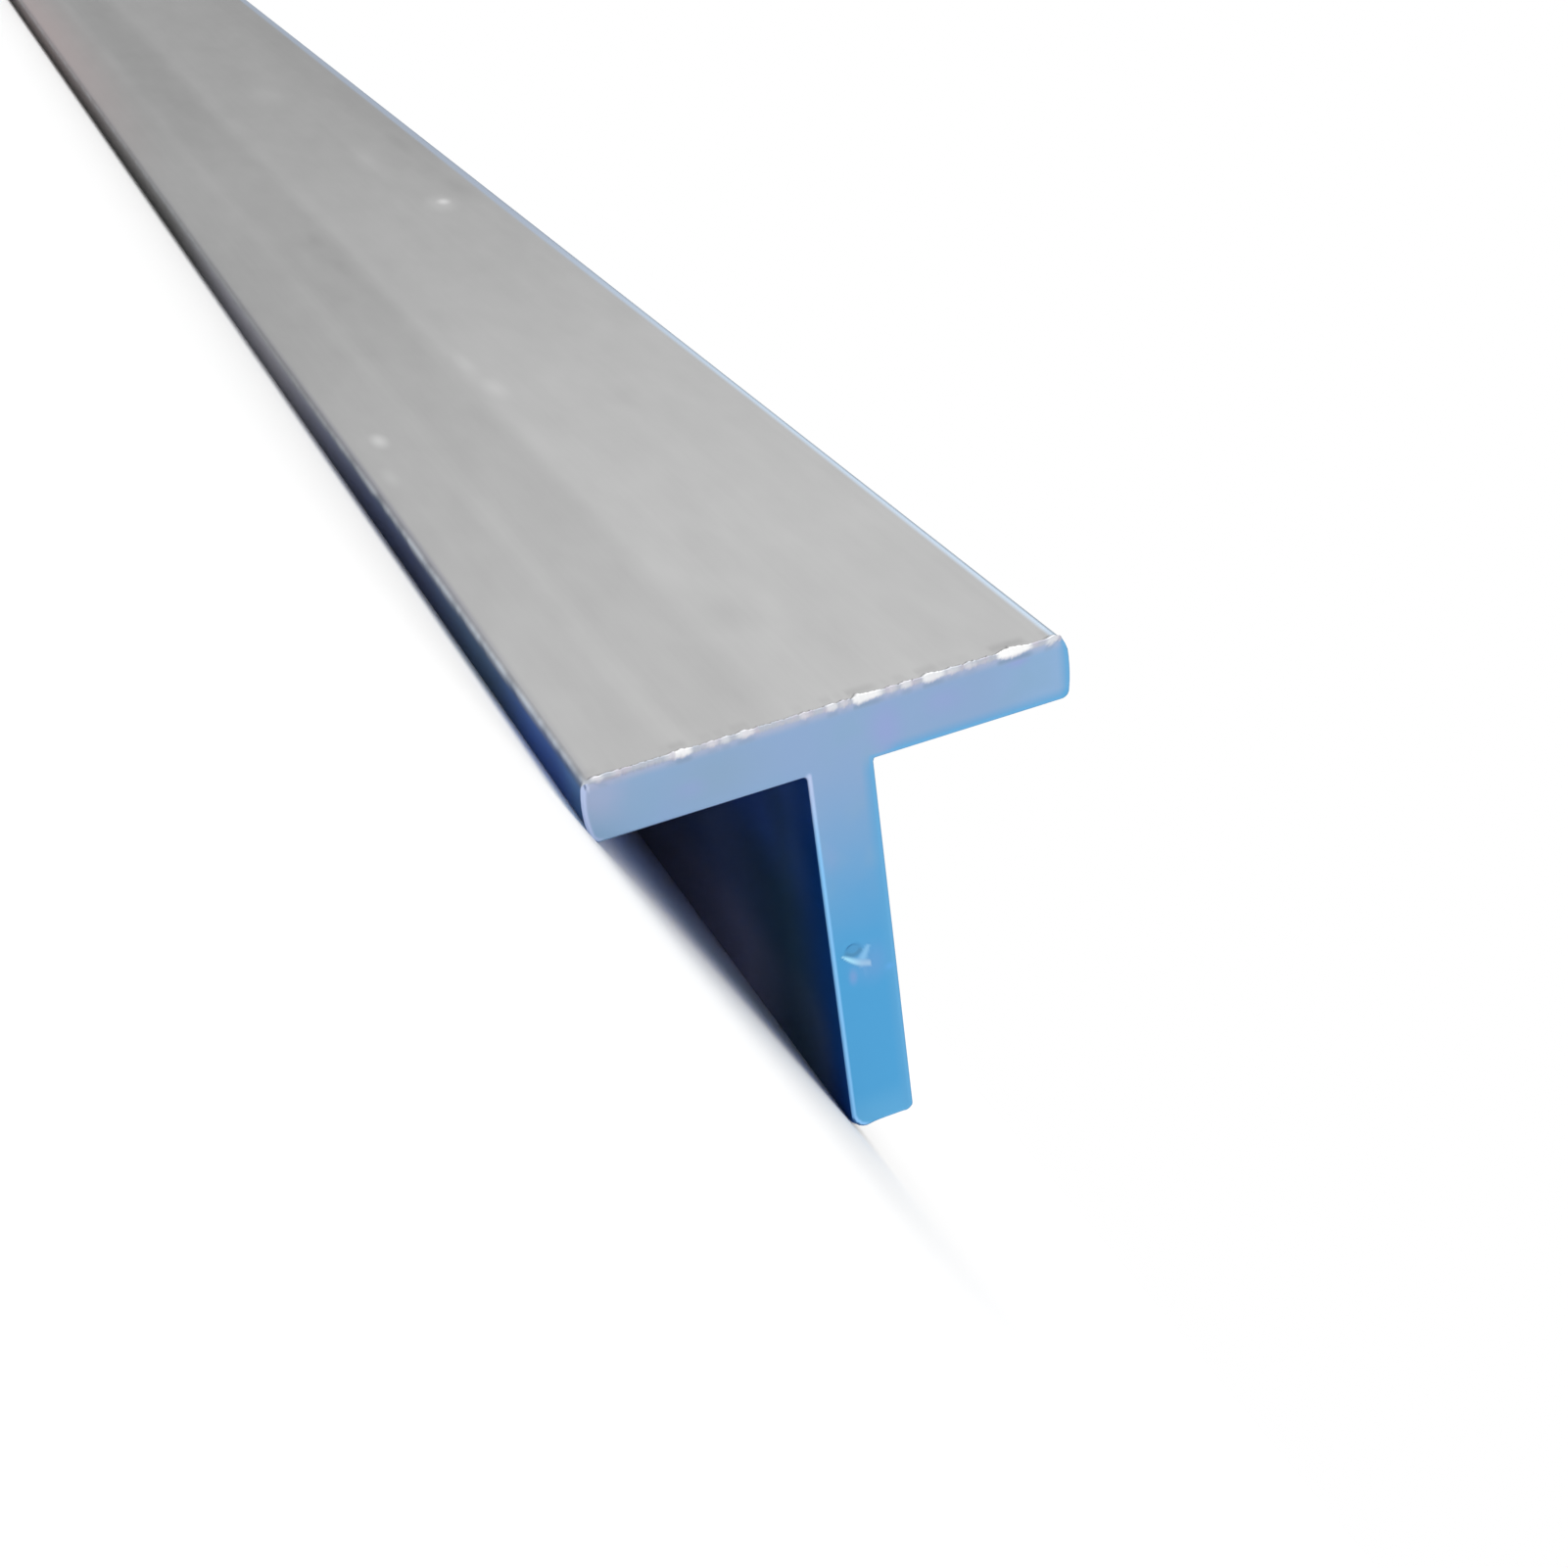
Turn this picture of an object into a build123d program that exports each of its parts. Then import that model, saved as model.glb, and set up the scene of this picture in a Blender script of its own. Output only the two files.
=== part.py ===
from build123d import *

import math
import os

# Aluminium tee section, one bar of extruded stock, cut to length with a saw
# The metal is pushed through a die in one go, so flange and web are a single solid
# Sizes are in millimetres

# Section, as the stockist lists it: width by depth by thickness
flange_width = 30.0
web_depth = 30.0
flange_thickness = 4.0
web_thickness = 4.0

# Corners that the die leaves: nearly sharp inside, just broken outside
root_radius = 0.3
toe_radius = 0.4

# Cut length, and the small flat left on the saw cut's edges
bar_length = 1000.0
saw_edge_break = 0.15

# Where the web meets the flange, measured up from the web's tip
flange_underside = web_depth - flange_thickness

# The bar lies on its side: the flange's lower left toe and the web's tip touch the floor
# Both toes have the same radius, so the floor is parallel to the line through their centres
toe_to_tip_across = (flange_width - web_thickness) / 2
toe_to_tip_down = flange_underside
lean_angle = math.degrees(math.atan2(toe_to_tip_down, toe_to_tip_across))


def is_root(corner):
    """True for the two inside corners, where the web's sides run into the flange."""
    beside_web = math.isclose(abs(corner.X), web_thickness / 2, abs_tol=1e-6)
    under_flange = math.isclose(corner.Y, flange_underside, abs_tol=1e-6)
    return beside_web and under_flange


def tee_profile():
    """The die's opening: web tip on the origin, flange across the top."""
    with BuildSketch() as profile:
        Rectangle(web_thickness, web_depth, align=(Align.CENTER, Align.MIN))
        with Locations((0, flange_underside)):
            Rectangle(flange_width, flange_thickness, align=(Align.CENTER, Align.MIN))
        toes = [corner for corner in profile.vertices() if not is_root(corner)]
        fillet(toes, radius=toe_radius)
        roots = [corner for corner in profile.vertices() if is_root(corner)]
        fillet(roots, radius=root_radius)
    return profile.sketch


def sawn_bar():
    """The profile drawn out along X to the cut length, with both cut edges broken."""
    bar = extrude(Plane.YZ * tee_profile(), amount=bar_length / 2, both=True)
    ends = bar.faces().filter_by(Axis.X)
    return chamfer(ends.edges(), length=saw_edge_break)


def laid_on_floor(bar):
    """Leans the bar over onto its two touching edges and centres it on the floor."""
    leaning = Rot(X=lean_angle) * bar
    box = leaning.bounding_box()
    middle = box.center()
    return Pos(-middle.X, -middle.Y, -box.min.Z) * leaning


tee_section = laid_on_floor(sawn_bar())
tee_section.label = "tee_section"

os.makedirs("parts", exist_ok=True)
export_step(tee_section, "parts/tee_section.step")

size = tee_section.bounding_box().size
print(f"lean {lean_angle:.3f} degrees")
print(f"box {size.X:.3f} x {size.Y:.3f} x {size.Z:.3f} mm")
print(f"volume {tee_section.volume:.1f} mm3")
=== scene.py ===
# %% [markdown]
# The imported part comes first.
# The real thing is one bar of aluminium, pushed through a die in the shape of a T and cut off with a saw.
# Every surface made below takes its place from this frame, so nothing has to be fitted afterwards.
# The part's box is kept as it is now, to place the new surface by it.

# %% Load the frame
import math

import bmesh
import bpy
import numpy as np
from mathutils import Matrix, Vector


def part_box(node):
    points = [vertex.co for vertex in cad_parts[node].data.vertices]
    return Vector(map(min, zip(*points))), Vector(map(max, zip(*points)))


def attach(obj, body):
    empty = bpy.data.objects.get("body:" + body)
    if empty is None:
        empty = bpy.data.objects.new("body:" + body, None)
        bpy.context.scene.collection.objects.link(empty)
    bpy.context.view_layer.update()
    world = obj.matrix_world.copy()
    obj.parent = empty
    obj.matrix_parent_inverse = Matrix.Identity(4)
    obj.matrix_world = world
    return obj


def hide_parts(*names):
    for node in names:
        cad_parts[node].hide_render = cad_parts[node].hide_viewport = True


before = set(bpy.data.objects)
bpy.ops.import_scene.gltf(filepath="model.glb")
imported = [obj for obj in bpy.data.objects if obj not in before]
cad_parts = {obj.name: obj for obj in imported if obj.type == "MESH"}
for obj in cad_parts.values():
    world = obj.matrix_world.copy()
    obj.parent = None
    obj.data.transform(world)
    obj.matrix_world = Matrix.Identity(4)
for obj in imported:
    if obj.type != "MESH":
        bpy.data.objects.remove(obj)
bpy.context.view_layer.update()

low_corner, high_corner = (Vector(corner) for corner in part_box("tee_section"))

# %% [markdown]
# The bar lies on its side, on the edge of the flange and on the tip of the web.
# Its section is easier to think about upright, so there are two sets of axes.
# In the section, across runs along the flange and up runs from the web's tip to the flange's outer face.
# One turn about the bar's length, and one shift onto the floor, bring a section point into the frame.

# %% Section sizes and the way it lies
mm = 0.001
flange_width = 30 * mm
web_depth = 30 * mm
flange_thickness = 4 * mm
web_thickness = 4 * mm
root_radius = 0.3 * mm
toe_radius = 0.4 * mm

half_flange = flange_width / 2
half_web = web_thickness / 2
underside = web_depth - flange_thickness
bar_end = high_corner.x

lean = math.atan2(underside, half_flange - half_web)
lean_cos = math.cos(lean)
lean_sin = math.sin(lean)
tip_across = toe_radius - half_web
tip_low = lean_sin * tip_across + lean_cos * toe_radius - toe_radius
tip_far = lean_cos * -tip_across - lean_sin * toe_radius + toe_radius
shift_y = high_corner.y - tip_far
shift_z = low_corner.z - tip_low


def in_frame(across, up):
    """A section point turned by the lean and shifted onto the floor.

    Before the shift, y is cos times across minus sin times up, and z is sin times across plus cos times up.
    """
    y = lean_cos * across - lean_sin * up + shift_y
    z = lean_sin * across + lean_cos * up + shift_z
    return y, z


def frame_point(along, across, up):
    """The same for a single point, as a vector with its place along the bar."""
    return Vector((along, *in_frame(across, up)))


print(f"lean {math.degrees(lean):.2f} degrees, shift {shift_y / mm:.3f} and {shift_z / mm:.3f} mm")

# %% [markdown]
# The camera stands in front of the sawn end, a little to its left, and looks down onto the flange.
# Its place is measured from the section, because the photograph is about the section:
# so far to the left of the web, so far above its tip, so far in front of the cut.
# It is also rolled by a few degrees, as a hand holds a camera.
# The lens is the one at which the bar's edges run together as fast as in the photograph.

# %% Camera
camera_across = -39.5 * mm
camera_up = 92.0 * mm
camera_ahead = 107.5 * mm
aim_across = -3.52 * mm
aim_up = 26.19 * mm
camera_roll = math.radians(7.92)

camera_place = frame_point(bar_end + camera_ahead, camera_across, camera_up)
aim_place = frame_point(bar_end, aim_across, aim_up)
flange_normal = frame_point(0, 0, 1) - frame_point(0, 0, 0)

forward = (aim_place - camera_place).normalized()
level_right = forward.cross(flange_normal).normalized()
level_up = level_right.cross(forward)
picture_up = math.cos(camera_roll) * level_up + math.sin(camera_roll) * level_right
picture_right = forward.cross(picture_up)

camera = bpy.data.objects.new("camera", bpy.data.cameras.new("camera"))
bpy.context.collection.objects.link(camera)
turn = Matrix((picture_right, picture_up, -forward)).transposed()
camera.matrix_world = Matrix.Translation(camera_place) @ turn.to_4x4()
camera.data.sensor_width = 36
camera.data.lens = 52.42
camera.data.clip_start = 5 * mm
camera.data.clip_end = 200
bpy.context.scene.camera = camera
bpy.context.scene.view_settings.view_transform = "Standard"
print("camera at", tuple(round(number, 4) for number in camera_place))

# %% [markdown]
# Shader maths reads best as plain sums.
# One small class wraps an output socket: each operator adds a Math node and gives back its output.
# A Finish is a material under construction, and its node method adds any other kind of node.

# %% Shader helpers


class Signal:
    """A number, colour or vector on its way through a node tree."""

    def __init__(self, finish, socket):
        self.finish = finish
        self.socket = socket

    def __add__(self, other):
        return self.finish.maths("ADD", self, other)

    def __sub__(self, other):
        return self.finish.maths("SUBTRACT", self, other)

    def __rsub__(self, other):
        return self.finish.maths("SUBTRACT", other, self)

    def __mul__(self, other):
        return self.finish.maths("MULTIPLY", self, other)

    __radd__ = __add__
    __rmul__ = __mul__


class Finish:
    """A material with its tree and the Principled shader that its signals feed."""

    def __init__(self, name):
        self.material = bpy.data.materials.new(name)
        self.material.use_nodes = True
        self.tree = self.material.node_tree
        self.shader = self.tree.nodes["Principled BSDF"]

    def node(self, kind, inputs=(), output=0, **settings):
        """Adds a node: settings first, then a value or a link for each named socket."""
        node = self.tree.nodes.new(kind)
        for name, value in settings.items():
            setattr(node, name, value)
        for name, value in dict(inputs).items():
            self.feed(node.inputs[name], value)
        return Signal(self, node.outputs[output])

    def feed(self, socket, value):
        """Links a signal to the socket, or sets a plain value on it."""
        if isinstance(value, Signal):
            self.tree.links.new(value.socket, socket)
        else:
            socket.default_value = value

    def maths(self, operation, *terms):
        """One Math node on two terms, each a signal or a number."""
        return self.node("ShaderNodeMath", enumerate(terms), operation=operation)

    def surface(self, **sockets):
        """Feeds the shader's own sockets, with _ for each space in their names."""
        for name, value in sockets.items():
            self.feed(self.shader.inputs[name.replace("_", " ")], value)


print("signal and finish are ready")

# %% [markdown]
# A few short forms are enough for all of this bar's finish.
# A step is the soft border between two areas, a stripe is a soft line, a spot is a soft dot.
# A blend lays one colour over another, and grain is noise that may be drawn out along the bar.

# %% Short forms for patterns


def step(value, start, end):
    """0 up to start, 1 from end on, and a smooth S between them."""
    inputs = {"Value": value, "From Min": start, "From Max": end}
    return value.finish.node("ShaderNodeMapRange", inputs, interpolation_type="SMOOTHSTEP")


def stripe(value, middle, half_width):
    """1 at the middle, falling to 0 at half_width on both sides."""
    distance = value.finish.maths("ABSOLUTE", value - middle)
    return 1 - step(distance, 0, half_width)


def spot(place, middle, radii):
    """1 at the middle, falling to 0 on an oval around it: the distance, once divided by the radii."""
    finish = place.finish
    offset = finish.node("ShaderNodeVectorMath", {0: place, 1: middle}, operation="SUBTRACT")
    scaled = finish.node("ShaderNodeVectorMath", {0: offset, 1: radii}, operation="DIVIDE")
    distance = finish.node("ShaderNodeVectorMath", {0: scaled}, "Value", operation="LENGTH")
    return 1 - step(distance, 0, 1)


def blend(share, first, second):
    """The first colour where the share is 0, the second where it is 1."""
    first, second = (c if isinstance(c, Signal) else (*c, 1.0) for c in (first, second))
    inputs = {"Factor": share, 6: first, 7: second}
    return share.finish.node("ShaderNodeMix", inputs, 2, data_type="RGBA")


def grain(place, along, across, up, detail=2.0):
    """Noise between 0 and 1 with so many cells per metre in each direction of the section."""
    finish = place.finish
    stretched = finish.node("ShaderNodeVectorMath", {0: place, 1: (along, across, up)}, operation="MULTIPLY")
    return finish.node("ShaderNodeTexNoise", {"Vector": stretched, "Scale": 1.0, "Detail": detail})


def measured(finish, name):
    """A value that was worked out with the mesh and stored on its points."""
    return finish.node("ShaderNodeAttribute", output="Fac", attribute_name=name)


print("pattern helpers are ready")

# %% [markdown]
# The tee is drawn as one closed surface of two parameters.
# The first runs around the section's outline.
# The second runs along the bar, and at each cut it goes on inwards, as rings that shrink onto a centreline.
# So the cut face, its broken edge and the long faces are all one grid, with no seam to close.
# Each outline point needs its own point on the centreline, and both sides of a wall share theirs.

# %% Pieces of an outline
centre_height = web_depth - flange_thickness / 2
centre_reach = half_flange - flange_thickness / 2
centre_tip = web_thickness / 2
crossing = (0, centre_height)


def straight(start, end, shares):
    """Points on the line from start to end: start plus a share of the way."""
    start = np.array(start)
    end = np.array(end)
    return start + (end - start) * np.asarray(shares)[:, None]


def arc(middle, radius, first, last):
    """Six points on a circle: the middle, plus the radius times each angle's cosine and sine, in degrees."""
    angle = np.radians(np.linspace(first, last, 6))
    return np.array(middle) + radius * np.stack([np.cos(angle), np.sin(angle)], axis=1)


def web_shares():
    """Shares of the way down the web: wide steps, close ones at both ends and where the nick is."""
    wide = np.linspace(0.0, 1.0, 30)
    close = np.linspace(0.47, 0.61, 54)
    ends = np.array([0.004, 0.010, 0.990, 0.996])
    return np.unique(np.r_[wide[1:], close, ends])


flange_shares = np.linspace(0, 1, 161)[1:]
down_web = web_shares()
print(len(flange_shares), "steps along half the flange,", len(down_web), "down the web")

# %% [markdown]
# A tee is the same on both sides of its web, so only the right half is written down.
# It runs from the middle of the outer face over the flange's end, back under the flange and down the web.
# The toes, which are the outside corners, are round, and the root between web and flange is nearly sharp.
# Each piece of the outline comes with its points on the centreline, or with the one point that it shares.

# %% Half of the outline, and its mirror image
toe = half_flange - toe_radius
root = half_web + root_radius
tip = half_web - toe_radius
flange_end = (centre_reach, centre_height)
web_end = (0, centre_tip)
few = np.linspace(0, 1, 7)[1:-1]

outer_and_centre = [
    (straight((0, web_depth), (centre_reach, web_depth), flange_shares),
     straight(crossing, flange_end, flange_shares)),
    (straight((centre_reach, web_depth), (toe, web_depth), few), flange_end),
    (arc((toe, web_depth - toe_radius), toe_radius, 90, 0), flange_end),
    (straight((half_flange, web_depth - toe_radius), (half_flange, underside + toe_radius), few),
     flange_end),
    (arc((toe, underside + toe_radius), toe_radius, 0, -90), flange_end),
    (straight((toe, underside), (centre_reach, underside), few), flange_end),
    (straight((root, underside), (centre_reach, underside), flange_shares[::-1]),
     straight(crossing, flange_end, flange_shares[::-1])),
    (arc((root, underside - root_radius), root_radius, 90, 180), crossing),
    (straight((half_web, underside - root_radius), (half_web, centre_tip), down_web),
     straight(crossing, web_end, down_web)),
    (straight((half_web, centre_tip), (half_web, toe_radius), few), web_end),
    (arc((tip, toe_radius), toe_radius, 0, -90), web_end),
    (straight((tip, 0), (0, 0), few), web_end),
]
right_outer = np.concatenate([outer for outer, centre in outer_and_centre])
right_centre = np.concatenate([np.broadcast_to(centre, outer.shape) for outer, centre in outer_and_centre])


def both_halves(right, top, bottom):
    """One loop: the point on top, the right half, the point at the bottom, and the right half mirrored."""
    left = right[::-1] * np.array([-1, 1])
    return np.concatenate([[top], right, [bottom], left])


outline = both_halves(right_outer, (0, web_depth), (0, 0))
centreline = both_halves(right_centre, crossing, web_end)
print("outline of", len(outline), "points")

# %% [markdown]
# Along the bar, the rows stand close together near each cut, where the burr and the broken edge are,
# and far apart in the middle, where nothing changes.
# Each row has a distance back from the cut and a distance in from the outline.
# The edge between cut and faces is a quarter of a small circle.

# %% Rows along the bar
burr_reach = 0.2 * mm
cut_place = bar_end - burr_reach
edge_break = 0.15 * mm
wall_half = flange_thickness / 2
edge_turn = np.radians([0, 30, 60, 90])


def rows_of_one_end(on_cut, on_faces):
    """Distances back from the cut and in from the outline, over the cut, round its edge, along the faces.

    Round the edge they go as one minus the cosine and one minus the sine of the turn.
    """
    back = np.r_[0 * on_cut, edge_break * (1 - np.cos(edge_turn)), on_faces]
    inward = np.r_[on_cut, edge_break * (1 - np.sin(edge_turn)), 0 * on_faces]
    return back, inward


close_rows = np.r_[np.linspace(2.0, 0.6, 12), 0.5, 0.42, 0.35, 0.29, 0.24, 0.195] * mm
plain_rows = np.array([2.0, 1.3, 0.9, 0.65, 0.5, 0.38, 0.29, 0.2]) * mm
near_faces = np.array([0.2, 0.25, 0.31, 0.38, 0.46, 0.56, 0.7, 1.0, 1.6, 3, 8, 20, 45, 90, 170, 300]) * mm
far_faces = np.array([0.2, 0.26, 0.34, 0.44, 0.58, 0.9, 2, 8, 30, 100, 230]) * mm
near_back, near_in = rows_of_one_end(close_rows, near_faces)
far_back, far_in = rows_of_one_end(plain_rows, far_faces)

side = np.r_[np.ones(len(near_back)), 0, -np.ones(len(far_back))]
back = np.r_[near_back, cut_place, far_back[::-1]]
inward = np.r_[near_in, 0, far_in[::-1]]
row_place = side * (cut_place - back)
print(len(back), "rows,", len(close_rows), "on the near cut and", len(plain_rows), "on the far one")

# %% [markdown]
# A saw leaves a burr where its teeth come out: here on the flange's outer edge.
# It shows as a row of bright flecks, most of them blunt at the left and thin at the right, with a low ragged
# lip between them.
# Each fleck has a start, a length, the place of its thickest part, a size and a shine, read from the
# photograph.
# The far cut isn't in the photograph and gets flecks of the same kind in other places.

# %% Burr along the flange's outer edge
near_flecks = [(-14.7, 0.95, 0.4, 0.34, 0.4), (-13.5, 0.8, 0.5, 0.30, 0.15), (-10.3, 1.0, 0.7, 0.32, 0.3),
               (-9.7, 1.25, 0.4, 0.38, 0.85), (-7.8, 0.9, 0.5, 0.28, 0.3), (-6.9, 0.7, 0.5, 0.30, 0.35),
               (-6.0, 1.4, 0.5, 0.33, 0.5), (-2.1, 0.8, 0.5, 0.30, 0.25), (-0.4, 0.85, 0.6, 0.36, 0.5),
               (0.5, 0.6, 0.5, 0.30, 0.2), (1.28, 2.25, 0.2, 0.41, 0.85), (3.5, 0.7, 0.5, 0.30, 0.2),
               (4.3, 0.9, 0.5, 0.32, 0.45), (5.7, 1.7, 0.3, 0.40, 0.7), (7.2, 1.1, 0.4, 0.31, 0.3),
               (8.3, 1.1, 0.5, 0.30, 0.25), (10.5, 2.6, 0.4, 0.45, 1.0), (13.88, 0.9, 0.5, 0.42, 0.45)]
far_flecks = [(-13.1, 1.6, 0.4, 0.32, 0.8), (-8.2, 2.6, 0.2, 0.44, 1.0), (-3.4, 0.9, 0.5, 0.26, 0.5),
              (0.9, 1.9, 0.3, 0.38, 1.0), (6.8, 1.1, 0.5, 0.28, 0.6), (11.3, 2.2, 0.25, 0.44, 1.0)]


def smooth(value, start, end):
    """0 before start, 1 past end, and a smooth S between them."""
    share = np.clip((value - start) / (end - start), 0, 1)
    return share * share * (3 - 2 * share)


def ragged(across, seed):
    """Uneven between 0 and 1 along the edge: the mean of five sine waves of unlike length."""
    lengths = np.array([2.7, 6.1, 13.3, 21.0, 29.0])[:, None]
    waves = np.sin(lengths * across / mm + seed * lengths)
    return 0.5 + waves.mean(axis=0) / 2


def burr_along_edge(flecks, seed):
    """The burr's size and shine along the outline: the flecks, with the low lip between them.

    A fleck grows as the square root of the way to its thickest part, and shrinks as the way that is left
    to its end, to the power of 0.6. The lip is 0.14 mm plus an uneven share of 0.17 mm, and doesn't shine.
    At last all sizes vary by an uneven factor near one.
    """
    across = outline[:, 0] / mm
    size = 0.14 + 0.17 * ragged(outline[:, 0], seed)
    shine = np.zeros_like(size)
    for start, length, thickest, tallest, brightness in flecks:
        share = (across - start) / length
        up_to = np.clip(share / thickest, 0, 1) ** 0.5
        down_from = np.clip((1 - share) / (1 - thickest), 0, 1) ** 0.6
        fleck = tallest * up_to * down_from
        size = np.maximum(size, fleck)
        shine = np.maximum(shine, brightness * smooth(fleck, 0.05, 0.26))
    return mm * size * (0.78 + 0.44 * ragged(outline[:, 0], seed + 1.3)), shine


near_burr, near_shine = burr_along_edge(near_flecks, 0.4)
far_burr, far_shine = burr_along_edge(far_flecks, 2.2)
print(f"burr from {near_burr.min() / mm:.2f} to {near_burr.max() / mm:.2f} mm")

# %% [markdown]
# The blade also bends a thin rim outwards where it leaves the metal.
# It stands off at the flange's two ends, under the flange's right half and along the web's right side.
# That makes the cut's outline between 0.14 and 0.45 mm fuller there than the section is behind it.
# The web's lower left corner is worn off instead, with a small foot of burr beside it.

# %% Rim that stands off around the cut
ahead = np.roll(outline, -1, axis=0) - np.roll(outline, 1, axis=0)
ahead /= np.linalg.norm(ahead, axis=1, keepdims=True)
outward = np.stack([-ahead[:, 1], ahead[:, 0]], axis=1)
to_left = np.clip(-outward[:, 0], 0, 1)
to_right = np.clip(outward[:, 0], 0, 1)
to_below = np.clip(-outward[:, 1], 0, 1)


def standing_off():
    """How far the rim stands off: a size for each side, as a half oval at the flange's ends."""
    across, up = outline.T / mm
    on_flange = up > underside / mm
    oval = np.sqrt(np.clip(1 - ((up - 28) / 2.05) ** 2, 0, 1))
    left_end = 0.45 * to_left * on_flange * oval
    right_end = 0.34 * to_right * on_flange * oval
    web_side = 0.23 * to_right * (across < 3)
    under_right = 0.14 * to_below * (across > 2)
    from_corner = np.hypot(across + 2, up)
    worn_corner = -0.28 * np.exp(-((from_corner / 0.5) ** 2))
    foot = 0.12 * to_below * np.exp(-(((across + 1.15) / 0.5) ** 2)) * (up < 1)
    return mm * (left_end + right_end + web_side + under_right + worn_corner + foot)


rim_shift = standing_off()
print(f"rim from {rim_shift.min() / mm:.2f} to {rim_shift.max() / mm:.2f} mm")

# %% [markdown]
# The web's end has a small nick from handling: a shallow bowl, with metal pushed up below it.
# The pushed-up lip is a slanting, slightly sagging bar that starts as a sharp tip at the left.
# A fainter lip goes up from it at the bowl's right side.
# All of it is only a tenth of a millimetre high.
# Painted shade in the bowl and painted highlights on the lips make it plain to see.

# %% Nick in the web's end
nick_height = 0.1 * mm
lip_start = -1.32
lip_length = 1.84
side_lip_foot = (-0.02, 12.52)
side_lip_run = (0.44, 0.74)
bowl_middle = (-0.52, 13.32)
bowl_radii = (0.62, 0.52)


def nick(across, up):
    """Bowl, lip, side lip and the bowl's lower wall, each 0 to 1, from the place in millimetres.

    The bowl falls off with the distance to its middle, over an oval. The lip's crest is a parabola, and its
    half width grows as a power of the way along it and ends blunt. The side lip falls off with the distance
    to a short line, from its foot along its run, and gets thinner upwards. The wall is a ring just inside
    the bowl's border, kept to its lower half.
    """
    x = across / mm
    y = up / mm
    crest = 12.20 - 0.42 * x + 0.21 * x * x
    share = np.clip((x - lip_start) / lip_length, 0, 1)
    half_width = 0.54 * share ** 0.48 * (1 - share) ** 0.2 + 1e-9
    lip = np.clip(1 - ((y - crest) / half_width) ** 2, 0, 1)
    run_x, run_y = side_lip_run
    side_x = x - side_lip_foot[0]
    side_y = y - side_lip_foot[1]
    share = np.clip((side_x * run_x + side_y * run_y) / (run_x ** 2 + run_y ** 2), 0, 1)
    from_line = np.hypot(side_x - run_x * share, side_y - run_y * share)
    side_lip = np.clip(1 - (from_line / (0.38 - 0.18 * share)) ** 2, 0, 1)
    from_middle = np.hypot((x - bowl_middle[0]) / bowl_radii[0], (y - bowl_middle[1]) / bowl_radii[1])
    bowl = 1 - smooth(from_middle, 0.5, 1)
    wall = np.exp(-(((from_middle - 0.75) / 0.3) ** 2)) * smooth(13.5 - y, 0, 0.4)
    smooth_metal = (1 - lip) * (1 - side_lip)
    return bowl * smooth_metal, lip, side_lip, wall * smooth_metal


print("nick is", nick_height / mm, "mm high")

# %% [markdown]
# Now the grid is filled.
# Every row takes the outline, draws it in towards the centreline and stands at its place along the bar.
# The rim fades behind the cut as a bell curve.
# The burr is a bead around the edge. Its cross-section is part of an oval, which reaches a third further
# over the flange than over the cut. It pushes the surface out of the cut by up to 0.45 of its size, and up
# from the flange by up to 0.8 of it.

# %% Points of the bar's surface
rim_depth = 0.35 * mm
burr_border = web_depth - 0.3 * toe_radius
burr_slant = 0.75
burr_ahead = 0.45
burr_rise = 0.8

share_in = (inward / wall_half)[:, None]
is_near = side[:, None] > 0
rim_fade = np.exp(-((back / rim_depth) ** 2))[:, None] * is_near
shifted = outline[None] + (rim_shift[:, None] * outward)[None] * rim_fade[..., None]
across = shifted[..., 0] * (1 - share_in) + centreline[:, 0] * share_in
up = shifted[..., 1] * (1 - share_in) + centreline[:, 1] * share_in
along = np.broadcast_to(row_place[:, None], across.shape).copy()

on_top = outline[:, 1] > burr_border
burr = np.where(is_near, near_burr, far_burr) * on_top + 1e-9
from_edge = (inward + burr_slant * back)[:, None]
bead = np.sqrt(np.clip(1 - (from_edge / burr) ** 2, 0, 1)) * on_top
on_near_cut = ((back == 0) & (side > 0))[:, None]
bowl, lip, side_lip, wall = nick(across, up)

along += side[:, None] * bead * np.minimum(burr_reach, burr_ahead * burr)
along += on_near_cut * nick_height * (lip + 0.5 * side_lip * (1 - lip) - bowl)
raised = up + burr_rise * burr * bead

y, z = in_frame(across, raised)
y = np.clip(y, low_corner.y, high_corner.y)
z = np.clip(z, low_corner.z, high_corner.z)
grid = np.stack([along, y, z], axis=-1)
print("grid of", grid.shape[0], "by", grid.shape[1], "points, up to", round(along.max() / mm, 3), "mm")

# %% [markdown]
# The grid becomes a mesh: each face joins a point to its neighbour around the outline and to the next row.
# The first and the last row lie on the centreline, where the two sides of each wall have the same points.
# Merging those doubles closes the cut faces.

# %% Build the mesh
row_count, loop_count = along.shape
number = np.arange(row_count * loop_count).reshape(row_count, loop_count)
beside = np.roll(number, -1, axis=1)
faces = np.stack([number[:-1], beside[:-1], beside[1:], number[1:]], axis=-1).reshape(-1, 4)

tee_mesh = bpy.data.meshes.new("tee_bar")
tee_mesh.from_pydata(grid.reshape(-1, 3).tolist(), [], faces.tolist())
tee_mesh.polygons.foreach_set("use_smooth", np.ones(len(faces), bool))
print("mesh of", len(faces), "faces")


def store(name, values):
    """Keeps one number per point on the mesh, for the finish to read."""
    layer = tee_mesh.attributes.new(name, "FLOAT", "POINT")
    layer.data.foreach_set("value", np.broadcast_to(values, along.shape).astype(np.float32).ravel())


print("points carry", loop_count, "by", row_count, "values")

# %% [markdown]
# The finish needs to know some things that only the mesh knows.
# Each is a share between 0 and 1: the flange's left edge, the hollow between flange and web at the left,
# sawn metal, the cut's rim at the left and at the right, lip and flecks of the burr, the web's foot and the
# nick.

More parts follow.
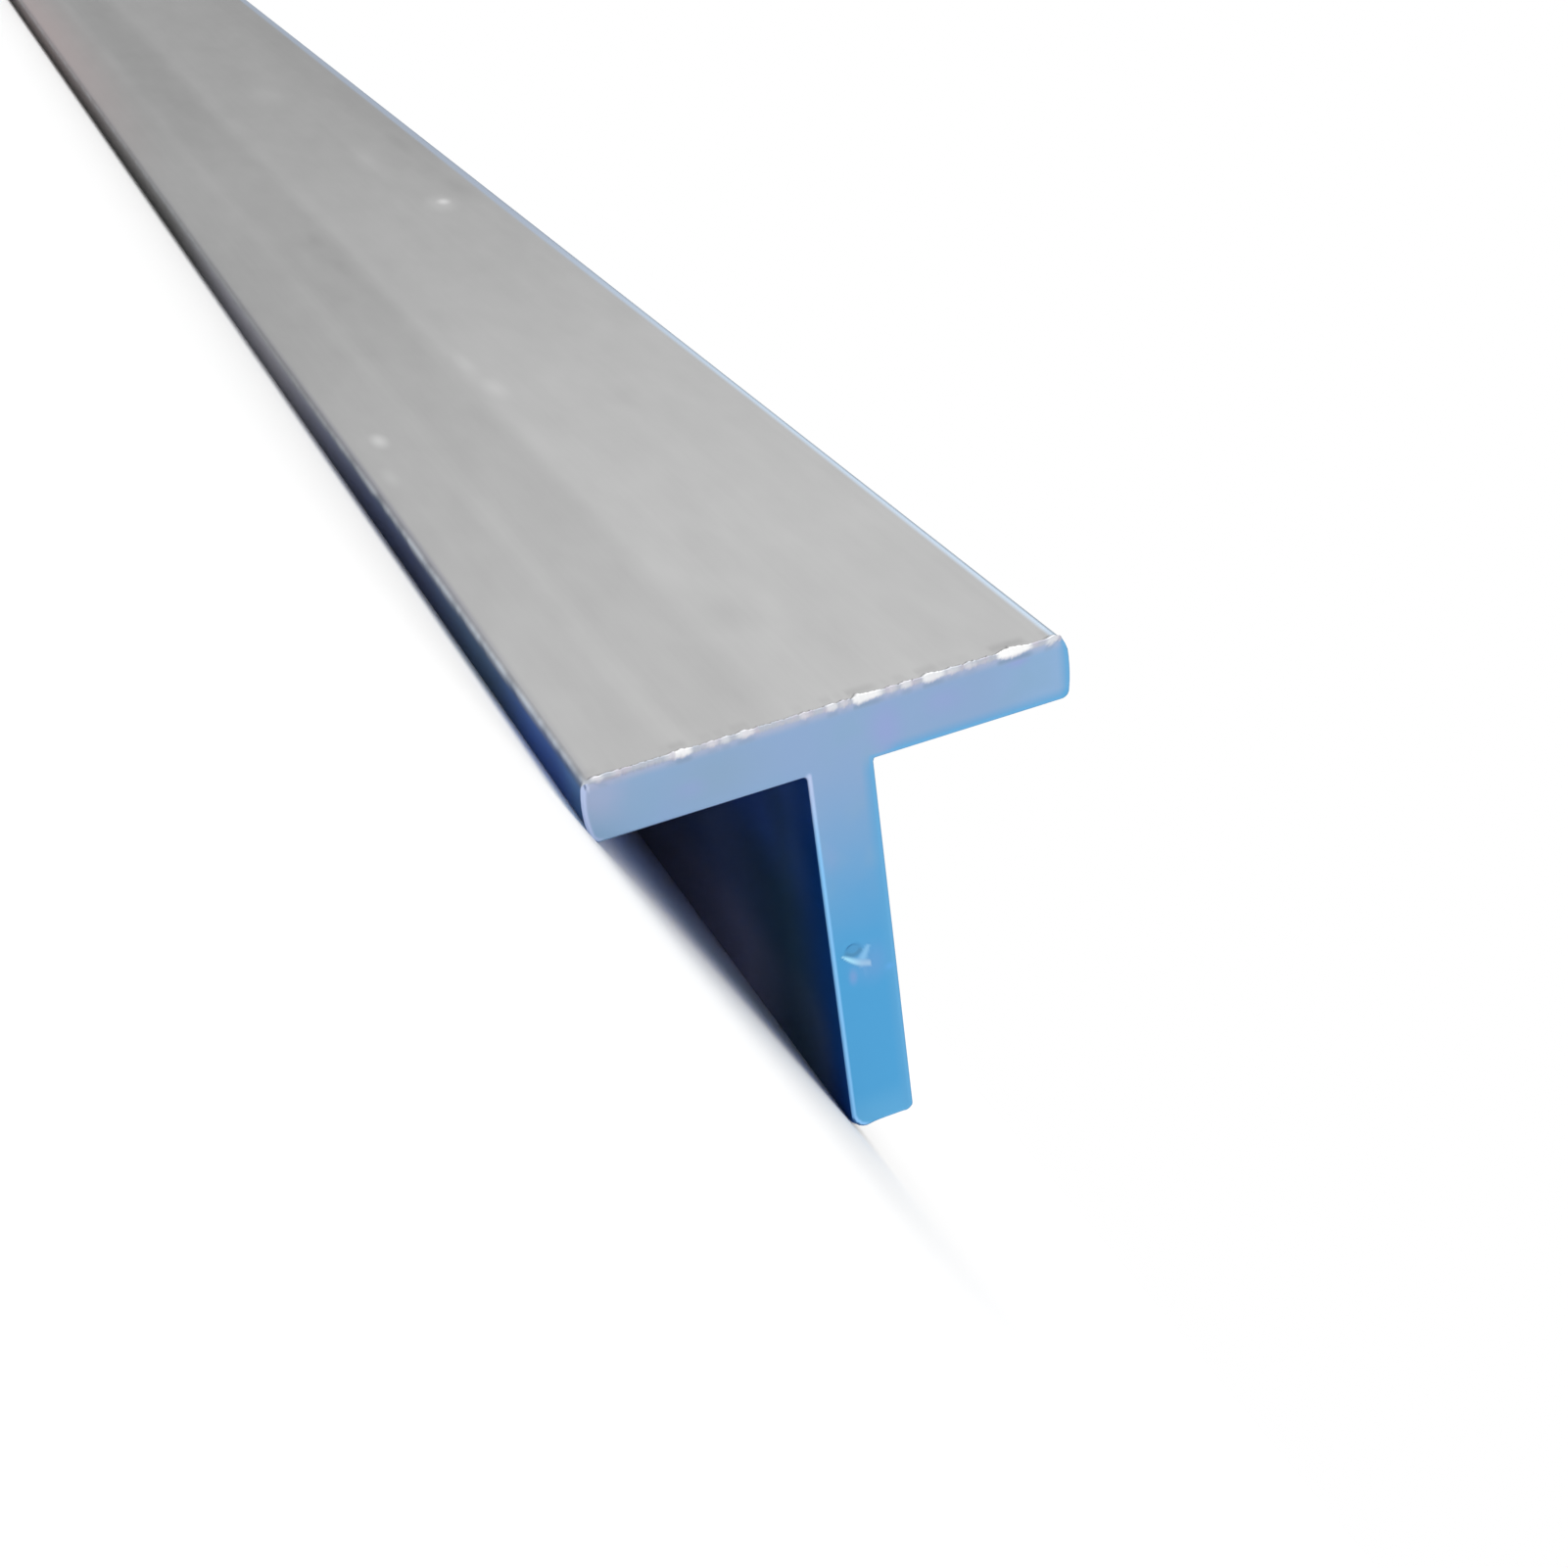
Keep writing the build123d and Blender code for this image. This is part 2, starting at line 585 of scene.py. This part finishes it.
# %% Values for the finish
outline_across, outline_up = outline.T
a_hair = 0.01 * mm
foot_height = 0.8 * mm
shade_depth = 0.3 * mm

on_flange = outline_up > underside
under_left = to_below * (outline_across < 0) * (outline_up > centre_tip)
in_hollow = np.maximum(to_left, under_left) * (outline_up < underside + a_hair)
shine = np.where(is_near, near_shine, far_shine)
rim_across_cut = 1 - smooth(inward, 0.2 * mm, 0.34 * mm)
rim = (rim_across_cut * (back < 1.01 * edge_break))[:, None]
at_foot = (outline_up < foot_height) * (outline_across < 0) * is_near
foot_rim = at_foot * (1 - smooth(outline_across, -1.3 * mm, -0.9 * mm)) * rim
foot_edge = (1 - smooth(inward, 0.08 * mm, 0.16 * mm)) * (back < shade_depth)
foot_shade = at_foot * (1 - smooth(outline_across, -0.8 * mm, -0.1 * mm)) * foot_edge[:, None]

store("left_edge", to_left * on_flange)
store("left_hollow", in_hollow)
store("sawn", (back < 0.5 * edge_break)[:, None])
store("left_rim", rim * to_left)
store("right_rim", rim * np.maximum(to_right, to_below * (outline_across > 0)))
store("lip", smooth(bead, 0.0, 0.6))
store("fleck", shine * smooth(bead, 0.0, 0.75))
store("beside_fleck", shine * on_top)
store("foot_rim", foot_rim)
store("foot_shade", foot_shade)
store("nick_bowl", on_near_cut * np.maximum(0.35 * bowl, wall))
store("nick_lip", on_near_cut * lip)
store("nick_side", on_near_cut * side_lip * (1 - lip))
print("stored", [layer.name for layer in tee_mesh.attributes if layer.data_type == "FLOAT"])

# %% [markdown]
# The bar gets its own flat map, for programs that paint its finish onto a picture.
# Both cuts lie side by side at its top, undistorted, and the long faces are one strip below them.
# The strip gives the ends far more room than the plain middle of the bar.

# %% Flat map
map_border = 0.01
strip_length = 0.98
strip_height = 0.61
cuts_bottom = 0.64
near_cut_middle = 0.18
far_cut_middle = 0.56
cut_scale = 0.34 / flange_width

strip_room = np.interp(back, [0, 40 * mm, cut_place], [0.0, 0.19, 0.49])
strip_across = np.where(side > 0, strip_room, strip_length - strip_room) + map_border
step_length = np.linalg.norm(np.roll(outline, -1, axis=0) - outline, axis=1)
strip_up = map_border + strip_height * np.r_[0, np.cumsum(step_length)] / step_length.sum()

on_strip = np.empty((row_count, loop_count + 1, 2))
on_strip[..., 0] = strip_across[:, None]
on_strip[..., 1] = strip_up
on_plan = np.empty((row_count, loop_count + 1, 2))
closed_across = np.concatenate([across, across[:, :1]], axis=1)
closed_up = np.concatenate([up, up[:, :1]], axis=1)
cut_middle = np.where(side > 0, near_cut_middle, far_cut_middle)
on_plan[..., 0] = cut_middle[:, None] + cut_scale * closed_across
on_plan[..., 1] = cuts_bottom + cut_scale * closed_up


def face_corners(map_points):
    """The four corners of every face, in the order of the mesh's own corners."""
    nearer, farther = map_points[:-1], map_points[1:]
    corners = [nearer[:, :-1], nearer[:, 1:], farther[:, 1:], farther[:, :-1]]
    return np.stack(corners, axis=2)


flat_face = (back[:-1] == 0) & (back[1:] == 0)
flat_map = np.where(flat_face[:, None, None, None], face_corners(on_plan), face_corners(on_strip))
layer = tee_mesh.uv_layers.new(name="OFBake")
layer.data.foreach_set("uv", flat_map.astype(np.float32).ravel())
print("flat map from", flat_map.min().round(3), "to", flat_map.max().round(3))

# %% [markdown]
# Blender's own mesh tools merge the doubles on the two centrelines and count what is left open.
# On a closed surface each edge has two faces, and the volume is positive when all faces point outwards.
# Both are printed, because neither shows in a picture.

# %% Close the cuts
shell = bmesh.new()
shell.from_mesh(tee_mesh)
shell.verts.ensure_lookup_table()
last_row = (row_count - 1) * loop_count
centre_points = list(shell.verts[:loop_count]) + list(shell.verts[last_row:])
bmesh.ops.remove_doubles(shell, verts=centre_points, dist=0.001 * mm)
open_edges = sum(not edge.is_manifold for edge in shell.edges)
volume = shell.calc_volume(signed=True)
shell.to_mesh(tee_mesh)
shell.free()

tee_bar = bpy.data.objects.new("tee_bar", tee_mesh)
bpy.context.collection.objects.link(tee_bar)
triangles = sum(len(face.vertices) - 2 for face in tee_mesh.polygons)
print(triangles, "triangles,", open_edges, "open edges, volume", round(volume * 1e9), "cubic mm")

# %% [markdown]
# The finish uses the section's axes too.
# Object coordinates are the frame's, so one Mapping node turns them back by the lean and puts zero at the
# cut. Everything below can then say how far behind the cut, how far to the right and how high a point is.

# %% Axes of the section in the finish
mill = Finish("sawn_mill_aluminium")
in_object = mill.node("ShaderNodeTexCoord", output="Object")
turned_y = lean_cos * shift_y + lean_sin * shift_z
turned_z = -lean_sin * shift_y + lean_cos * shift_z
inputs = {"Vector": in_object, "Rotation": (-lean, 0, 0), "Location": (-bar_end, -turned_y, -turned_z)}
place = mill.node("ShaderNodeMapping", inputs)
from_cut = mill.node("ShaderNodeSeparateXYZ", {0: place}, "X") * -1
rightward = mill.node("ShaderNodeSeparateXYZ", {0: place}, "Y")
upward = mill.node("ShaderNodeSeparateXYZ", {0: place}, "Z")
print("place in the section is ready")

# %% [markdown]
# Aluminium straight from the press is an even, slightly streaky grey.
# The die leaves fine lines along the bar: noise with few cells along the bar and many across it.
# Wider lines, breaks in them and a faint cloudiness are noise as well, each with cells of its own size.
# One more noise moves a place to and fro along the bar, so that the border of a shade can sway.

# %% Lines and clouds in the metal
die_lines = grain(place, 3, 2400, 2400, 3.0)
wide_lines = grain(place, 2, 380, 380, 2.0)
across_swayed = rightward + (grain(place, 14, 0, 0) - 0.5) * (1.6 * mm)
breaks = grain(place, 35, 160, 160)
cloud = grain(place, 120, 420, 420, 3.0)
print("lines and clouds")

# %% [markdown]
# The flange's outer face isn't equally bright everywhere.
# Its left part is darker than the rest, and two pale streaks run along it, broken here and there.
# All of this goes into one number, the tone, which will scale one grey, so no other hue creeps in.

# %% Tone across the flange
left_of_line = 1 - step(across_swayed, -4.0 * mm, -1.9 * mm)
depth = 0.07 + 0.04 * step(from_cut, 5 * mm, 50 * mm) - 0.07 * step(from_cut, 105 * mm, 165 * mm)
tone = 0.97 + 0.03 * step(from_cut, 0 * mm, 25 * mm) - left_of_line * depth
tone = tone + 0.11 * stripe(across_swayed, -9.1 * mm, 1.3 * mm) * breaks
tone = tone + 0.04 * stripe(across_swayed, -1.6 * mm, 1.6 * mm) * breaks * step(from_cut, 10 * mm, 70 * mm)
print("tone across the flange")

# %% [markdown]
# Along the bar, the tone has a pale zone about 60 mm behind the cut, and it gets darker from 120 mm on.
# Far back it is darker still at the right, at the right edge, and in a band at the left.
# The die lines and the clouds come in last, as small changes to both sides of zero.

# %% Tone along the bar, and the grey
tone = tone + 0.045 * stripe(from_cut, 58 * mm, 48 * mm) - 0.04 * step(from_cut, 120 * mm, 250 * mm)
tone = tone - 0.05 * step(from_cut, 110 * mm, 165 * mm) * step(rightward, -4 * mm, 4 * mm)
tone = tone - 0.065 * step(from_cut, 105 * mm, 140 * mm) * step(rightward, 8.5 * mm, 13 * mm)
far_band = 0.05 * left_of_line + 0.045 * stripe(across_swayed, -6.2 * mm, 3.5 * mm)
tone = tone - far_band * step(from_cut, 140 * mm, 195 * mm)
tone = tone + 0.05 * (die_lines - 0.5) + 0.05 * (wide_lines - 0.5) + 0.14 * (cloud - 0.5)
grey = 0.345 * tone
face_colour = mill.node("ShaderNodeCombineColor", {0: grey, 1: grey, 2: grey})
print("grey for all extruded faces")

# %% [markdown]
# Bars rub against each other in the rack, which leaves scuffs: bright spots, mostly drawn out along the bar.
# Smudges are darker and softer, and far back at the left the face has a warm tint.
# A mark is a spot with a middle, three radii and a strength, so a list places them all.

# %% Marks on the flange
scuffs = [((-122, 9.4, 30), (5, 2.2, 2), 0.10), ((-122.5, 9.8, 30), (1.8, 0.9, 1), 0.24),
          ((-60, -12.2, 30), (2.5, 0.9, 1), 0.18), ((-52, -13.3, 30), (3, 0.8, 1), 0.06),
          ((-65, -1.3, 30), (4, 1.3, 1), 0.07), ((-73, -1.7, 30), (5, 1.0, 1), 0.05),
          ((-145, 7.4, 30), (14, 1.6, 1), 0.05), ((-188, 5.0, 30), (10, 3.0, 1), 0.04)]
smudges = [((-15, -0.5, 30), (4, 2.4, 1), 0.05), ((-56, 6.7, 30), (5, 1.8, 1), 0.05),
           ((-108, -4.4, 30), (5, 1.0, 1), 0.06), ((-119, -4.4, 30), (5, 1.0, 1), 0.06),
           ((-127, 12.6, 30), (9, 1.2, 1), 0.08), ((-150, 12.2, 30), (9, 1.2, 1), 0.07)]


def spots_together(spots):
    """The sum of spots, each with its middle and radii in millimetres and its strength."""
    total = 0.0
    for middle, radii, strength in spots:
        middle = tuple(number * mm for number in middle)
        radii = tuple(number * mm for number in radii)
        total = spot(place, middle, radii) * strength + total
    return total


face_colour = blend(spots_together(scuffs), face_colour, (0.95, 0.95, 0.95))
face_colour = blend(spots_together(smudges), face_colour, (0.02, 0.02, 0.02))
warm_far_tint = spot(place, (-270 * mm, -15 * mm, 30 * mm), (130 * mm, 7 * mm, 7 * mm))
face_colour = blend(0.7 * warm_far_tint, face_colour, (0.40, 0.33, 0.33))
print(len(scuffs), "scuffs,", len(smudges), "smudges and a stain")

# %% [markdown]
# The flange's left edge and the hollow beside the web lean towards the floor, so the render shades them.
# Near the cut their dark blue is a painted reflection of blue surroundings, with painted shade.
# This painted blue gets duller in a few steps and fades out, because the rest of the metal is plain grey.
# Noise lets its upper border waver.

# %% Painted reflection and shade on the flange's left edge
# painted reflection of blue surroundings and painted shade on the left edge
edge_near = blend(step(from_cut, 2 * mm, 7 * mm), (0.24, 0.43, 0.72), (0.15, 0.29, 0.66))
edge_near = blend(step(from_cut, 10 * mm, 22 * mm), edge_near, (0.15, 0.25, 0.41))
edge_near = blend(step(from_cut, 22 * mm, 40 * mm), edge_near, (0.14, 0.18, 0.33))
edge_near = blend(0.8 * step(upward, 28.8 * mm, 29.7 * mm), edge_near, (0.06, 0.12, 0.22))
edge_painted_reflection = blend(step(from_cut, 45 * mm, 95 * mm), edge_near, (0.48, 0.48, 0.53))
left_edge = measured(mill, "left_edge") * (1 - step(from_cut, 105 * mm, 150 * mm))
ragged_noise = grain(place, 220, 0, 300, 3.0)
ragged_height = upward + (ragged_noise - 0.5) * (1.2 * mm)
left_edge = left_edge * (1 - step(ragged_height, 29.2 * mm, 30.1 * mm))
face_colour = blend(left_edge, face_colour, edge_painted_reflection)
print("left edge")

# %% [markdown]
# The left toe has a pale line, a painted highlight on its rounding, fainter where the noise is low.
# The line is clearest near the cut, and a darker line of painted shade lies beside it on the outer face.

# %% Left toe: painted highlight and shade
# painted shade beside the toe
beside_toe = stripe(rightward, -14.7 * mm, 0.45 * mm) * step(upward, 29.8 * mm, 29.95 * mm)
shade = 0.25 + 0.45 * step(from_cut, 12 * mm, 30 * mm) - 0.5 * step(from_cut, 45 * mm, 120 * mm)
face_colour = blend(shade * beside_toe, face_colour, (0.20, 0.20, 0.23))
# painted highlight on the toe's rounding
left_toe_highlight = (1 - step(rightward, -15.0 * mm, -14.65 * mm)) * step(upward, 28.9 * mm, 29.8 * mm)
left_toe_highlight = left_toe_highlight * (1 - 0.75 * step(from_cut, 25 * mm, 80 * mm)) * (0.25 + 0.75 * step(ragged_noise, 0.35, 0.6))
face_colour = blend(left_toe_highlight, face_colour, (0.70, 0.75, 0.82))
print("left toe")

# %% [markdown]
# The hollow's blue is a painted reflection of blue surroundings: strong at the mouth, paler within the first
# two centimetres, where the paler colour also lifts the render's deep shade as painted light.
# High up, under the flange, it stays bluer, and near the web's tip it gets greyer.
# Past 30 mm it begins to fade into the grey.

# %% Painted reflection in the hollow beside the web
# painted reflection of blue surroundings, paler further in as painted light
hollow_reflection = blend(step(from_cut, 0.5 * mm, 8 * mm), (0.014, 0.15, 0.52), (0.14, 0.29, 0.42))
hollow_reflection = blend(step(from_cut, 8 * mm, 22 * mm), hollow_reflection, (0.53, 0.64, 0.90))
past_mouth = step(from_cut, 1 * mm, 5 * mm)
upper_share = 0.35 * past_mouth + 0.4 * step(from_cut, 6 * mm, 10 * mm)
upper_share = upper_share + 0.2 * step(upward, 20 * mm, 24 * mm)
hollow_reflection = blend(upper_share * step(upward, 13 * mm, 19 * mm), hollow_reflection, (0.25, 0.46, 1.0))
lower_share = 0.3 * past_mouth + 0.4 * step(from_cut, 8 * mm, 18 * mm)
lower_colour = blend(step(from_cut, 8 * mm, 18 * mm), (0.45, 0.50, 0.65), (0.86, 0.83, 1.0))
hollow_reflection = blend(lower_share * (1 - step(upward, 5 * mm, 10 * mm)), hollow_reflection, lower_colour)
left_hollow = measured(mill, "left_hollow") * (1 - step(from_cut, 30 * mm, 100 * mm))
face_colour = blend(left_hollow, face_colour, hollow_reflection)
print("hollow")

# %% [markdown]
# The right toe has a pale line too, a painted highlight: a reflection of pale surroundings on its rounding.
# It grows wider and darker far back. Its outer part is the paler one.
# On the outer face, a band of painted shade lies behind the burr's flecks and darkens the metal a little.

# %% Right toe highlight, and painted shade behind the burr
far_off = step(from_cut, 40 * mm, 120 * mm)
# painted highlight on the right toe's rounding
right_toe_highlight = step(rightward + far_off * (0.4 * mm), 14.2 * mm, 14.6 * mm) * step(upward, 28.5 * mm, 29.5 * mm)
toe_inside = blend(far_off, (0.43, 0.51, 0.60), (0.33, 0.38, 0.46))
toe_outside = blend(far_off, (0.62, 0.70, 0.78), (0.40, 0.50, 0.64))
toe_colour = blend(step(rightward, 14.7 * mm, 15.0 * mm), toe_inside, toe_outside)
face_colour = blend(right_toe_highlight, face_colour, toe_colour)
# painted shade behind the burr's flecks
shade_behind_fleck = measured(mill, "beside_fleck") * stripe(from_cut, 1.2 * mm, 0.8 * mm)
face_colour = blend(0.16 * shade_behind_fleck, face_colour, (0.05, 0.05, 0.05))
print("right toe and dust")

# %% [markdown]
# The saw cut is smooth, and its blue is a painted reflection of blue surroundings: azure at the web's tip,
# paler and more lavender towards the flange.
# One step up along the web makes the main change, and noise lets its border wander.
# The flange's two ends have tints of their own, and left of the web the blue is duller.

# %% Main colour of the saw cut, a painted reflection
patches = grain(place, 0, 230, 230, 2.0)
height_share = step(upward + 3 * mm * (patches - 0.5), 11.5 * mm, 28.5 * mm)
# painted reflection of blue surroundings on the cut
cut_colour = blend(height_share, (0.088, 0.37, 0.68), (0.28, 0.41, 0.63))
left_colour = blend(step(upward, 26.3 * mm, 28.8 * mm), (0.27, 0.42, 0.60), (0.37, 0.44, 0.62))
cut_colour = blend(0.9 * (1 - step(rightward, -15.2 * mm, -10.5 * mm)), cut_colour, left_colour)
cut_colour = blend(0.7 * step(rightward, 9 * mm, 14 * mm), cut_colour, (0.28, 0.46, 0.70))
dull_place = spot(place, (0, -7.5 * mm, 28 * mm), (2, 5 * mm, 3.5 * mm))
cut_colour = blend(0.9 * dull_place, cut_colour, (0.27, 0.40, 0.57))
print("main colour of the cut")

# %% [markdown]
# Softer patches lie over this painted reflection: a greener tint that noise scatters over the upper half, a
# clear blue at the web's tip, and a few lavender spots.

# %% Patches on the saw cut
# patches in the painted reflection
green_patches = step(grain(place, 0, 300, 300), 0.45, 0.75) * step(upward, 14 * mm, 24 * mm)
cut_colour = blend(0.5 * green_patches, cut_colour, (0.26, 0.42, 0.60))
cut_colour = blend(0.5 * (1 - step(upward, 0.5 * mm, 3 * mm)), cut_colour, (0.15, 0.44, 0.72))
lavender_spots = [((0, 3.2, 27.6), (2, 1.6, 2.6), 0.6), ((0, 11.9, 29.3), (2, 1.2, 0.6), 0.6),
                  ((0, 7.0, 28.2), (2, 2.0, 1.4), 0.4), ((0, -0.75, 11.4), (2, 0.45, 0.9), 0.4),
                  ((0, -1.2, 20.2), (2, 0.8, 1.7), 0.15), ((0, -9.0, 27.6), (2, 1.5, 1.0), 0.3),
                  ((0, 0.6, 12.0), (2, 2.2, 2.2), 0.22)]
cut_colour = blend(spots_together(lavender_spots), cut_colour, (0.32, 0.37, 0.68))
print(len(lavender_spots), "lavender spots")

# %% [markdown]
# Along the flange's outer edge the cut is paler in a thin band just below the edge.
# Each fleck of the burr shades the cut just below it.
# The cut's border is bluer wherever it faces right or down at the right, a painted reflection: along the
# web, under the flange and at the flange's right end.

# %% Upper and right border of the saw cut
below_top = 30 * mm - upward
pale_band = (1 - step(below_top, 0.15 * mm, 0.8 * mm)) * (0.35 + 0.4 * patches)
cut_colour = blend(pale_band, cut_colour, (0.50, 0.50, 0.62))
under_fleck = measured(mill, "beside_fleck") * stripe(below_top, 0.45 * mm, 0.3 * mm)
cut_colour = blend(0.7 * under_fleck, cut_colour, (0.22, 0.32, 0.46))
# painted reflection on the cut's right and lower border
lower_right_reflection = step(rightward, 1.2 * mm, 2.0 * mm) * (1 - step(rightward, 2.4 * mm, 2.6 * mm))
lower_right_reflection = lower_right_reflection * (1 - step(upward, 25 * mm, 26.5 * mm))
lower_right_reflection = lower_right_reflection + step(rightward, 2.6 * mm, 4 * mm) * (1 - step(upward, 26.0 * mm, 26.8 * mm))
lower_right_reflection = lower_right_reflection + step(rightward, 14.4 * mm, 15.2 * mm)
cut_colour = blend(0.7 * lower_right_reflection, cut_colour, (0.12, 0.39, 0.68))
print("borders of the cut")

# %% [markdown]
# The smallest things come last, because each of them lies over what is there already.
# The rims, the foot, the nick and the burr read the values that were stored on the mesh, so colour and shape
# can't drift apart.
# The rims are painted highlights and reflections on the cut's broken edge, and the foot's under-edge has
# painted shade. At the flange's left end the pale rim breaks: a dark gap with a pale place beside it.

# %% Painted highlights and shade on the rims and foot of the saw cut
# painted highlight on the left rim
left_rim_highlight = blend(step(upward, 20 * mm, 26 * mm), (0.27, 0.59, 0.94), (0.52, 0.61, 0.86))
cut_colour = blend(measured(mill, "left_rim") * 0.9, cut_colour, left_rim_highlight)
rim_dark_gap = spot(place, (0, -14.98 * mm, 29.75 * mm), (1, 0.11 * mm, 0.36 * mm))
cut_colour = blend(0.8 * rim_dark_gap, cut_colour, (0.08, 0.12, 0.22))
beside_gap = spot(place, (0, -14.82 * mm, 29.65 * mm), (1, 0.12 * mm, 0.5 * mm))
cut_colour = blend(0.7 * beside_gap, cut_colour, (0.62, 0.68, 0.86))
# painted highlight along the foot, painted shade under its edge
cut_colour = blend(measured(mill, "foot_rim") * 0.9, cut_colour, (0.30, 0.62, 1.0))
cut_colour = blend(measured(mill, "foot_shade") * 0.9, cut_colour, (0.04, 0.12, 0.30))
cut_colour = blend(measured(mill, "right_rim") * 0.6, cut_colour, (0.15, 0.44, 0.74))
print("rims and foot")

# %% [markdown]
# The nick's bowl gets painted shade.
# Its pushed-up lip gets a pale blue painted highlight, darker towards its blunt end.
# A small scratch lies to the right below it.

# %% Nick in the saw cut: painted shade and highlights
scratch = spot(place, (0, 1.72 * mm, 11.3 * mm), (1, 0.5 * mm, 0.4 * mm))
cut_colour = blend(0.6 * scratch, cut_colour, (0.14, 0.42, 0.82))
# painted shade in the nick's bowl
cut_colour = blend(measured(mill, "nick_bowl") * 0.8, cut_colour, (0.09, 0.26, 0.45))
nick_lip_highlight = blend(step(rightward, -1.1 * mm, 0.1 * mm), (0.42, 0.80, 1.0), (0.35, 0.56, 0.80))
cut_colour = blend(measured(mill, "nick_side") * 0.65, cut_colour, (0.32, 0.62, 0.90))
cut_colour = blend(measured(mill, "nick_lip"), cut_colour, nick_lip_highlight)
print("nick")

# %% [markdown]
# The burr's lip is a dull grey with a hint of lavender.
# Its flecks are raised metal, and their near white, scaled by each fleck's shine, is a painted highlight.
# Here the colours of the faces and of the cut come together.
# The metal is one shader for all of them: fully metallic, satin, with a trace of the die lines as bump.

# %% Burr, and everything together
hints = step(grain(place, 0, 900, 900), 0.45, 0.6)
lip_colour = blend(hints, (0.50, 0.53, 0.59), (0.55, 0.53, 0.60))
colour = blend(measured(mill, "sawn"), face_colour, cut_colour)
colour = blend(measured(mill, "lip") * 0.9, colour, lip_colour)
# painted highlight on the burr's flecks
colour = blend(measured(mill, "fleck"), colour, (0.97, 0.97, 0.97))
bump = mill.node("ShaderNodeBump", {"Height": die_lines, "Strength": 0.1, "Distance": 0.02 * mm})
mill.surface(Base_Color=colour, Metallic=1.0, Roughness=0.36 + 0.06 * wide_lines, Normal=bump)
mill.shader.inputs["Specular Tint"].default_value = (0.5, 0.5, 0.5, 1.0)
tee_mesh.materials.append(mill.material)
print("finish with", len(mill.tree.nodes), "nodes")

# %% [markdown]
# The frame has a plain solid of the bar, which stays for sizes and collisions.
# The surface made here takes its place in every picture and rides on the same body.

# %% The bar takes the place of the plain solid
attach(tee_bar, "root")
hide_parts("tee_section")
print("tee_bar stands for tee_section")

# %% [markdown]
# The floor is one pale square, so wide that its border is far outside every view.
# It belongs to the stage, and the soft shadow on it shows how the bar lies.

# %% Floor
reach = 30.0
floor_mesh = bpy.data.meshes.new("floor")
floor_corners = [(-reach, -reach, 0), (reach, -reach, 0), (reach, reach, 0), (-reach, reach, 0)]
floor_mesh.from_pydata(floor_corners, [], [(0, 1, 2, 3)])
floor = bpy.data.objects.new("floor", floor_mesh)
bpy.context.collection.objects.link(floor)
white_floor = Finish("white_floor")
white_floor.surface(Base_Color=(0.98, 0.98, 0.98, 1.0), Roughness=0.9)
floor_mesh.materials.append(white_floor.material)
print("floor", reach * 2, "m wide")

# %% [markdown]
# Bare metal shows what is around it, so the surroundings are kept plain: an even white sky.
# One weak sun, as wide as a softbox, adds some light to the flange's outer face.
# It shines from the bar's far end, so the cut gets none of it.

# %% Light
world = bpy.data.worlds.new("studio")
bpy.context.scene.world = world
world.use_nodes = True
world.node_tree.nodes["Background"].inputs["Color"].default_value = (1.0, 1.0, 1.0, 1.0)
world.node_tree.nodes["Background"].inputs["Strength"].default_value = 1.0

sun_direction = Vector((0.709, 0.471, -0.524))
sun_data = bpy.data.lights.new("soft_sun", "SUN")
sun_data.energy = 0.6
sun_data.angle = math.radians(50)
sun = bpy.data.objects.new("soft_sun", sun_data)
bpy.context.collection.objects.link(sun)
sun.rotation_euler = sun_direction.to_track_quat("-Z", "Y").to_euler()
print("one soft sun and an even sky")
